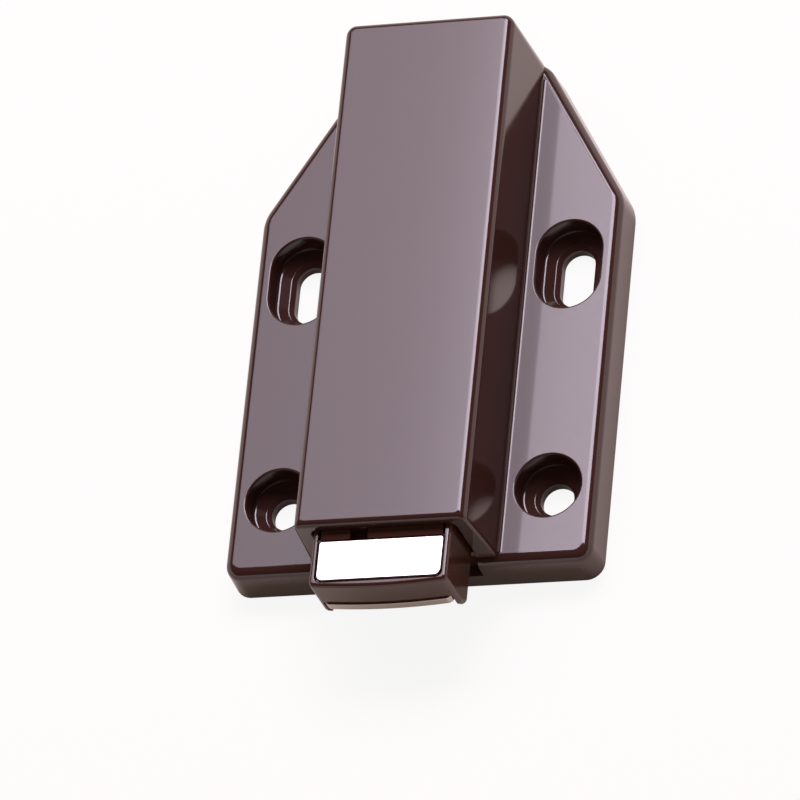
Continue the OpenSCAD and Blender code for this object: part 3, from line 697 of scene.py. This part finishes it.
class LATCH_OT_housing(bpy.types.Operator):
    """Builds the moulded housing with its screw wells, hollows and front opening"""

    bl_idname = "latch.housing"
    bl_label = "Housing"

    def execute(self, context):
        s = context.scene.latch_housing
        finish = context.scene.latch_finish
        shell = flange_solid(s)
        combine(shell, box_solid(s), "UNION")
        for side in (-1, 1):
            combine(shell, foot_fillet(s, side), "UNION")
        roof_thickness, front_wall, rebate_depth = 1.6, 2, 0.7
        recess_low, recess_high, recess_bite = 2.6, 6.7, 0.4
        tongue_x, tongue_half, tongue_low, tongue_depth, tongue_gap = 5, 2.1, 0.8, 1.3, 0.1
        bore_radius, bore_top = 1.0, 8.35
        roof = mm(HOUSING_HIGH.z) - roof_thickness
        flange_front, box_front = mm(HOUSING_LOW.y), mm(HOUSING_LOW.y + s.box_setback)
        inner_front = box_front + front_wall
        inner_rear = mm(HOUSING_HIGH.y - s.wall_thickness) - REAR_LEAN
        combine(shell, channel_cutter(inner_front, inner_rear, roof), "DIFFERENCE")
        rebate_rear = inner_rear + rebate_depth
        rebate = make_block("rebate", (-REBATE_HALF, inner_front, -2), (REBATE_HALF, rebate_rear, FLOOR_Z))
        combine(shell, rebate, "DIFFERENCE")
        combine(shell, front_opening(box_front, roof), "DIFFERENCE")
        recess_from = (-OPENING_HALF, flange_front - 2, recess_low)
        recess_to = (OPENING_HALF, box_front + recess_bite, recess_high)
        recess = make_block("recess", recess_from, recess_to)
        combine(shell, recess, "DIFFERENCE")
        for side in (-1, 1):
            x = side * mm(s.hole_spacing) / 2
            combine(shell, wing_hollow(s, side), "DIFFERENCE")
            combine(shell, screw_well(s, x, 0, 0), "DIFFERENCE")
            combine(shell, screw_well(s, x, mm(s.slot_pitch), mm(s.slot_extra)), "DIFFERENCE")
            low, high = side * tongue_x - tongue_half, side * tongue_x + tongue_half
            tongue_from = (low, inner_front - tongue_depth, tongue_low)
            tongue_to = (high, inner_front + 1, FLOOR_Z + tongue_gap)
            tongue = make_block("tongue_slot", tongue_from, tongue_to)
            combine(shell, tongue, "DIFFERENCE")
            bore = circle_points(side * POST_X, POST_Y, bore_radius)
            combine(shell, make_solid("bore", [upright(bore, -1), upright(bore, bore_top)]), "DIFFERENCE")
        material = polished_abs("moulded_abs_polished", finish.housing_colour, 0.11)
        finish_piece(shell, material, "housing", ["housing"])
        return {"FINISHED"}


# Plunger


class LATCH_OT_plunger(bpy.types.Operator):
    """Builds the sliding plunger with its plate pocket, spring bore and cam"""

    bl_idname = "latch.plunger"
    bl_label = "Plunger"

    def execute(self, context):
        s = context.scene.latch_plunger
        finish = context.scene.latch_finish
        front = mm(PLATE_LOW.y) - PLATE_CLEARANCE - mm(s.rim_thickness)
        top, half = mm(PLUNGER_HIGH.z), mm(s.nose_width) / 2
        radius, low, rear = mm(s.nose_radius), mm(PLUNGER_HIGH.z - s.nose_height), -6
        bevel_length, bevel_height, bend_half, face_lean = 0.75, 1.7, 0.2, 0.2
        bend = low + bevel_height
        rings = []
        for z in [low, bend - bend_half, bend + bend_half, *fillet_levels(top, radius, 5)]:
            inset = side_inset(z - low, top - low, 0, radius)
            rise = z - low - bevel_height
            back = face_lean * rise / (top - low) if rise > 0 else -bevel_length * rise / bevel_height
            corner = max(mm(s.nose_corner) - inset, 0.3)
            bow = mm(s.bow_radius) - inset
            outline = bowed_outline(half - inset, front + back + inset, rear, bow, corner)
            rings.append(upright(outline, z))
        carrier = make_solid("plunger_carrier", rings)
        side_gap, sled_front, sled_rear, sled_low = 0.25, -7.7, mm(PLUNGER_HIGH.y), 4
        sled_half = CHANNEL_HALF - side_gap
        sled = make_block("sled", (-sled_half, sled_front, sled_low), (sled_half, sled_rear, top))
        combine(carrier, sled, "UNION")
        for cutter in self.cutters(front + mm(s.rim_thickness), front, top, sled_front, sled_rear):
            combine(carrier, cutter, "DIFFERENCE")
        material = polished_abs("moulded_abs_plunger", finish.plunger_colour, 0.13)
        finish_piece(carrier, material, "plunger", ["plunger"])
        return {"FINISHED"}

    def cutters(self, pocket_front, front, top, sled_front, sled_rear):
        """The pockets, slots and bores of the plunger, one after another."""
        plate_z, pocket_rear = mm(PLATE_LOW.z), mm(PLATE_HIGH.y) + PLATE_CLEARANCE
        half, edge, rim_drop = mm(PLATE_HIGH.x) + PLATE_CLEARANCE, 0.12, 0.35
        groove_width, groove_depth, groove_length, lap = 0.4, 0.8, 1.6, 0.2
        notch_left, notch_right, notch_depth = -4.3, -1.9, 2
        front_corner, rear_corner = 0.9, 0.4
        corners = [(-half, pocket_front), (half, pocket_front), (half, pocket_rear), (-half, pocket_rear)]
        radii = [front_corner, front_corner, rear_corner, rear_corner]
        rings = []
        rounding = [(top - edge, 0), (top - edge / 3, edge / 3), (top, edge)]
        for z, flare in [(plate_z, 0), *rounding, (top + 1, edge)]:
            outline = rounded_polygon(inset_polygon(corners, [-flare] * 4), radii, 8)
            rings.append(upright(outline, z))
        yield make_solid("plate_pocket", rings)
        for side in (-1, 1):
            low, high = sorted((side * (half - groove_width), side * half))
            groove_to = (high, pocket_rear + groove_length, top + 2)
            yield make_block("side_groove", (low, pocket_rear - lap, top - groove_depth), groove_to)
        slope_front, slope_rear = pocket_rear - 0.6, pocket_rear + 1.3
        slope = [
            (slope_front, top - rim_drop),
            (slope_rear, top),
            (slope_rear, top + 1),
            (slope_front, top + 1),
        ]
        yield make_solid("rim_slope", [[(x, y, z) for y, z in slope] for x in (-half, half)])
        notch_to = (notch_right, pocket_rear + groove_length, top + 2)
        yield make_block("rim_notch", (notch_left, pocket_rear - lap, top - notch_depth), notch_to)
        magnet_half, lower_gap, lower_low = 7.45, 0.05, 5
        lower_top, lower_half = mm(LOWER_HIGH.z), mm(LOWER_HIGH.x) + lower_gap
        magnet_to = (magnet_half, pocket_rear, plate_z + 0.1)
        yield make_block("magnet_pocket", (-magnet_half, pocket_front, lower_top - 2), magnet_to)
        lower_to = (lower_half, pocket_rear, lower_top)
        yield make_block("lower_slot", (-lower_half, front - 2, lower_low), lower_to)
        wall, bore_depth, floor_top, inner = 1.5, 18, 6.15, CHANNEL_HALF - 1.75
        bore_radius, tube_wall, spigot_length = SPRING_RADIUS + SPRING_CLEARANCE, 0.9, 3
        seat = sled_rear - bore_depth
        core_to = (inner, seat - wall, top + 2)
        yield make_block("front_core", (-inner, sled_front + wall, floor_top), core_to)
        core_to = (inner, sled_rear - wall, top + 2)
        rear_core = make_block("rear_core", (-inner, seat + wall, floor_top), core_to)
        tube = make_rod_y("tube", bore_radius + tube_wall, seat, sled_rear, SPRING_Z)
        combine(rear_core, tube, "DIFFERENCE")
        yield rear_core
        bore = make_rod_y("bore", bore_radius, seat, sled_rear + 2, SPRING_Z)
        spigot = make_rod_y("spigot", SPIGOT_RADIUS, seat - 1, seat + spigot_length, SPRING_Z)
        combine(bore, spigot, "DIFFERENCE")
        yield bore
        yield from self.heart_cam()

    def heart_cam(self):
        """Cutters for the heart-shaped groove that the hook wire runs in."""
        turns = [(0, 23), (3.2, 17), (0, 18.8), (-3.2, 17)]
        low, roof, lane_half, turn_radius = 2, 5.5, 0.75, 0.8
        for i, turn in enumerate(turns):
            ahead = Vector(turns[(i + 1) % 4]) - Vector(turn)
            across = Vector((-ahead.y, ahead.x)).normalized() * lane_half
            start = Vector(turn)
            lane = [start - across, start + ahead - across, start + ahead + across, start + across]
            yield make_solid("cam_lane", [upright(lane, low), upright(lane, roof)])
            bend = circle_points(*turn, turn_radius, 32)
            yield make_solid("cam_turn", [upright(bend, low), upright(bend, roof)])


class LATCH_OT_plates(bpy.types.Operator):
    """Builds the pole plates and dresses the magnet between them"""

    bl_idname = "latch.plates"
    bl_label = "Magnet and plates"

    def execute(self, context):
        s = context.scene.latch_plunger
        finish = context.scene.latch_finish
        half, edge = mm(PLATE_HIGH.x), 0.16
        corners = [
            (-half, mm(PLATE_LOW.y)),
            (half, mm(PLATE_LOW.y)),
            (half, mm(PLATE_HIGH.y)),
            (-half, mm(PLATE_HIGH.y)),
        ]
        front, rear = mm(s.plate_radius), 0.4
        rings = []
        for z in [mm(PLATE_LOW.z), *fillet_levels(mm(PLATE_HIGH.z), edge, 4)]:
            inset = side_inset(z - mm(PLATE_LOW.z), mm(PLATE_HIGH.z - PLATE_LOW.z), 0, edge)
            radii = [front - inset, front - inset, rear - inset, rear - inset]
            rings.append(upright(rounded_polygon(inset_polygon(corners, [inset] * 4), radii, 10), z))
        plate = make_solid("bright_plate", rings)
        nickel = metal("nickel_plated_steel", finish.nickel_colour, 0.2, 0.25, (0.15, 1.0, 1.0))
        finish_piece(plate, nickel, "plunger", ["upper_pole_plate"])
        steel = metal("punched_steel", finish.steel_colour, 0.34, 0.15, (1.0, 1.0, 0.3))
        finish_piece(self.lower_plate(s), steel, "plunger", ["lower_pole_plate"])
        dress_node("magnet", ferrite(finish.ferrite_colour))
        return {"FINISHED"}

    def lower_plate(self, s):
        """The plate under the magnet: its bowed front shows as a strip at the foot of the nose."""
        half, front, rear = mm(LOWER_HIGH.x), mm(LOWER_LOW.y), mm(LOWER_HIGH.y)
        low, top, edge = mm(LOWER_LOW.z), mm(LOWER_HIGH.z), 0.12
        rings = []
        upper = [(top - edge, 0), (top - edge * 0.3, edge * 0.3), (top, edge)]
        for z, inset in [(low, edge), (low + edge, 0), *upper]:
            corner = mm(s.plate_radius) - inset
            outline = bowed_outline(half - inset, front + inset, rear, mm(s.bow_radius) - inset, corner)
            rings.append(upright(outline, z))
        return make_solid("lower_plate", rings)


def ferrite(colour):
    """Sintered ferrite: dark grey, dull, with a fine grain."""
    material, tree = new_material("sintered_ferrite")
    place = add_node(tree, "ShaderNodeTexCoord").outputs["Object"]
    grain = add_node(
        tree,
        "ShaderNodeTexNoise",
        {"Scale": per_metre(0.2), "Detail": 5.0},
        {"Vector": place},
    )
    pits = add_node(
        tree,
        "ShaderNodeBump",
        {"Strength": 0.5, "Distance": 0.03 * MM},
        {"Height": grain.outputs["Fac"]},
    )
    rough = add_node(
        tree, "ShaderNodeMapRange", {"To Min": 0.5, "To Max": 0.75}, {"Value": grain.outputs["Fac"]}
    )
    shader = add_node(
        tree,
        "ShaderNodeBsdfPrincipled",
        {"Base Color": (*colour, 1.0), "IOR": 2.0},
        {"Roughness": rough.outputs["Result"], "Normal": pits.outputs["Normal"]},
    )
    add_node(tree, "ShaderNodeOutputMaterial", None, {"Surface": shader.outputs["BSDF"]})
    return material


class LATCH_OT_workings(bpy.types.Operator):
    """Builds the main spring and dresses the hook wire and the leaf spring"""

    bl_idname = "latch.workings"
    bl_label = "Springs and hook"

    def execute(self, context):
        s = context.scene.latch_plunger
        finish = context.scene.latch_finish
        wire = mm(s.wire_diameter)
        radius = SPRING_RADIUS - wire / 2
        start, end = mm(SPRING_LOW.y) + wire / 2, mm(SPRING_HIGH.y) - wire / 2
        turns, steps, sides = 13, 32, 10
        rings = []
        for i in range(turns * steps + 1):
            turn = i / steps
            if turn < 1:
                rise = turn * wire
            elif turn > turns - 1:
                rise = end - start - (turns - turn) * wire
            else:
                rise = wire + (turn - 1) * (end - start - 2 * wire) / (turns - 2)
            around = 2 * math.pi * turn
            ring = []
            for side in range(sides):
                across = 2 * math.pi * side / sides
                r = radius + wire / 2 * math.cos(across)
                y = start + rise + wire / 2 * math.sin(across)
                ring.append((r * math.cos(around), y, SPRING_Z + r * math.sin(around)))
            rings.append(ring)
        coil = make_solid("main_coil", rings)
        drawn = metal("drawn_spring_wire", finish.steel_colour, 0.25, 0.2, (1.0, 1.0, 1.0))
        finish_piece(coil, drawn, "housing", ["main_spring"])
        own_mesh(coil)
        dress_node("hook_wire", drawn)
        dress_node("leaf_spring", drawn)
        return {"FINISHED"}


class LATCH_OT_cover(bpy.types.Operator):
    """Dresses the base cover and its screws"""

    bl_idname = "latch.cover"
    bl_label = "Base cover"

    def execute(self, context):
        finish = context.scene.latch_finish
        satin = polished_abs("moulded_abs_satin", finish.housing_colour, 0.38)
        dress_node("base_cover", satin)
        zinc = metal("zinc_plated_steel", finish.zinc_colour, 0.3, 0.3, (1.0, 1.0, 1.0))
        dress_node("cover_screw_left", zinc)
        dress_node("cover_screw_right", zinc)
        return {"FINISHED"}


# Studio


def soft_panel(name, low, high, level):
    """A soft panel that hangs level over the latch between two corners, as bright as level."""
    data = bpy.data.lights.new(name, "AREA")
    data.shape = "RECTANGLE"
    data.size, data.size_y = high[0] - low[0], high[1] - low[1]
    data.energy = level * math.pi * data.size * data.size_y
    data.color = PANEL_COLOUR
    lamp = bpy.data.objects.new(name, data)
    bpy.context.scene.collection.objects.link(lamp)
    lamp.location = ((low[0] + high[0]) / 2, (low[1] + high[1]) / 2, PANEL_Z)
    lamp.visible_camera = False
    return lamp


def seen_directly(tree):
    """A factor of 1 for rays of the camera, of reflections and of clear materials."""
    path = add_node(tree, "ShaderNodeLightPath")
    either = add_node(
        tree,
        "ShaderNodeMath",
        {"operation": "MAXIMUM"},
        {0: path.outputs["Is Camera Ray"], 1: path.outputs["Is Glossy Ray"]},
    )
    return add_node(
        tree,
        "ShaderNodeMath",
        {"operation": "MAXIMUM"},
        {0: either.outputs["Value"], 1: path.outputs["Is Transmission Ray"]},
    ).outputs["Value"]


def floor_card(colour):
    """White paper card: nearly plain where it is seen, lit and shadowed in what mirrors it."""
    material, tree = new_material("white_paper_card")
    matt = add_node(tree, "ShaderNodeBsdfDiffuse", {"Color": (*colour, 1.0)})
    plain = add_node(tree, "ShaderNodeEmission", {"Color": WHITE, "Strength": 1.0})
    path = add_node(tree, "ShaderNodeLightPath")
    direct = add_node(
        tree,
        "ShaderNodeMath",
        {"operation": "MAXIMUM"},
        {0: path.outputs["Is Camera Ray"], 1: path.outputs["Is Transmission Ray"]},
    )
    mirrored = add_node(
        tree,
        "ShaderNodeMath",
        {"operation": "MULTIPLY", 1: CARD_MIRRORED},
        {0: path.outputs["Is Glossy Ray"]},
    )
    shown = add_node(
        tree,
        "ShaderNodeMath",
        {"operation": "MULTIPLY_ADD", 1: CARD_SHOWN},
        {0: direct.outputs["Value"], 2: mirrored.outputs["Value"]},
    )
    mix = add_node(
        tree,
        "ShaderNodeMixShader",
        None,
        {0: shown.outputs["Value"], 1: matt.outputs["BSDF"], 2: plain.outputs["Emission"]},
    )
    add_node(tree, "ShaderNodeOutputMaterial", None, {"Surface": mix.outputs["Shader"]})
    return material


def dark_reflection_board():
    """Dull, even dark grey for a board that only mirrors show: painted dark reflections, with no light or
    shade of its own.
    """
    material, tree = new_material("reflection_only_dark_board")
    matt = add_node(tree, "ShaderNodeBsdfDiffuse", {"Color": (*linear("2c2a2c"), 1.0)})
    add_node(tree, "ShaderNodeOutputMaterial", None, {"Surface": matt.outputs["BSDF"]})
    return material


def stage_slab(name, half, corner, low, high, material):
    """A wide flat slab of the studio with rounded corners, sizes in millimetres."""
    outline = rounded_polygon([(-half, -half), (half, -half), (half, half), (-half, half)], [corner] * 4)
    slab = make_solid(name, [upright(outline, low), upright(outline, high)])
    slab.data.transform(Matrix.Scale(MM, 4))
    slab.data.materials.append(material)
    return slab


class LATCH_OT_studio(bpy.types.Operator):
    """Sets the floor, the soft light, the background and the camera"""

    bl_idname = "latch.studio"
    bl_label = "Studio"

    def execute(self, context):
        s = context.scene.latch_studio
        scene = context.scene
        scene.view_settings.view_transform = "Standard"
        card = floor_card(context.scene.latch_finish.floor_colour)
        stage_slab("studio_floor", *FLOOR_SLAB, card)
        self.add_world(scene, s.sky_level)
        back = Vector(
            (
                math.sin(s.azimuth) * math.cos(s.elevation),
                -math.cos(s.azimuth) * math.cos(s.elevation),
                math.sin(s.elevation),
            )
        )
        soft_panel("key_panel", *KEY_PANEL, s.key_level)
        soft_panel("right_panel", *RIGHT_PANEL, s.key_level * s.right_share)
        soft_panel("fill_panel", *FILL_PANEL, s.fill_level)
        soft_panel("side_panel", *SIDE_PANEL, s.fill_level * s.side_share)
        # A dark board overhead that only reflections show: painted dark reflections
        self.add_reflection_ceiling()
        self.add_camera(scene, s, Vector(CAMERA_TARGET), back)
        return {"FINISHED"}

    def add_reflection_ceiling(self):
        """A dark ceiling above the soft panels, seen only in what mirrors it: a painted dark reflection
        that neither blocks light nor casts a shadow.
        """
        reflection_ceiling = stage_slab("dark_reflection_ceiling", *REFLECTION_CEILING_SLAB, dark_reflection_board())
        reflection_ceiling.visible_camera = False
        reflection_ceiling.visible_diffuse = False
        reflection_ceiling.visible_shadow = False
        reflection_ceiling.visible_transmission = False

    def add_world(self, scene, level):
        """Light from all round, with a white background where it is seen."""
        world = bpy.data.worlds.new("studio_world")
        world.use_nodes = True
        tree = world.node_tree
        tree.nodes.clear()
        direct = seen_directly(tree)
        strength = add_node(
            tree,
            "ShaderNodeMapRange",
            {"To Min": level, "To Max": 1.0},
            {"Value": direct},
        )
        warm = add_node(
            tree,
            "ShaderNodeMix",
            {"data_type": "RGBA", MIX_A: WARM_SKY, MIX_B: WHITE},
            {"Factor": direct},
        )
        sky = add_node(
            tree,
            "ShaderNodeBackground",
            None,
            {"Color": warm.outputs[MIX_RESULT], "Strength": strength.outputs["Result"]},
        )
        add_node(tree, "ShaderNodeOutputWorld", None, {"Surface": sky.outputs["Background"]})
        scene.world = world

    def add_camera(self, scene, s, target, back):
        """A long lens that looks at the latch from the front, the right and above."""
        level = Vector((math.cos(s.azimuth), math.sin(s.azimuth), 0))
        rise = back.cross(level)
        right = math.cos(s.roll) * level + math.sin(s.roll) * rise
        up = -math.sin(s.roll) * level + math.cos(s.roll) * rise
        place = target + back * s.distance - right * CAMERA_LEFT - up * CAMERA_DOWN
        data = bpy.data.cameras.new("studio_camera")
        data.lens = s.lens
        data.sensor_width = 36
        data.clip_end = 20
        camera = bpy.data.objects.new("studio_camera", data)
        scene.collection.objects.link(camera)
        turn = Matrix((right, up, back)).transposed().to_4x4()
        camera.matrix_world = Matrix.Translation(place) @ turn
        scene.camera = camera


class LATCH_PT_panel(bpy.types.Panel):
    """Lists the pieces of the latch and the studio."""

    bl_idname = "LATCH_PT_panel"
    bl_label = "Press release latch"
    bl_space_type = "VIEW_3D"
    bl_region_type = "UI"
    bl_category = "Latch"

    def draw(self, context):
        for operator in OPERATORS:
            self.layout.operator(operator.bl_idname)
        for name in SETTINGS:
            group = getattr(context.scene, name)
            for key in group.__annotations__:
                self.layout.prop(group, key)


SETTINGS = {
    "latch_housing": LatchHousingSettings,
    "latch_plunger": LatchPlungerSettings,
    "latch_finish": LatchFinishSettings,
    "latch_studio": LatchStudioSettings,
}
OPERATORS = (
    LATCH_OT_housing,
    LATCH_OT_plunger,
    LATCH_OT_plates,
    LATCH_OT_workings,
    LATCH_OT_cover,
    LATCH_OT_studio,
)


def register():
    """Adds the settings, the operators and the panel."""
    for kind in (*SETTINGS.values(), *OPERATORS, LATCH_PT_panel):
        bpy.utils.register_class(kind)
    for name, kind in SETTINGS.items():
        setattr(bpy.types.Scene, name, bpy.props.PointerProperty(type=kind))


def unregister():
    """Takes them away again."""
    for name in SETTINGS:
        delattr(bpy.types.Scene, name)
    for kind in (LATCH_PT_panel, *OPERATORS, *SETTINGS.values()):
        bpy.utils.unregister_class(kind)


def main():
    """Builds every piece and the studio."""
    register()
    bpy.ops.latch.housing()
    bpy.ops.latch.plunger()
    bpy.ops.latch.plates()
    bpy.ops.latch.workings()
    bpy.ops.latch.cover()
    bpy.ops.latch.studio()


if __name__ == "__main__":
    main()
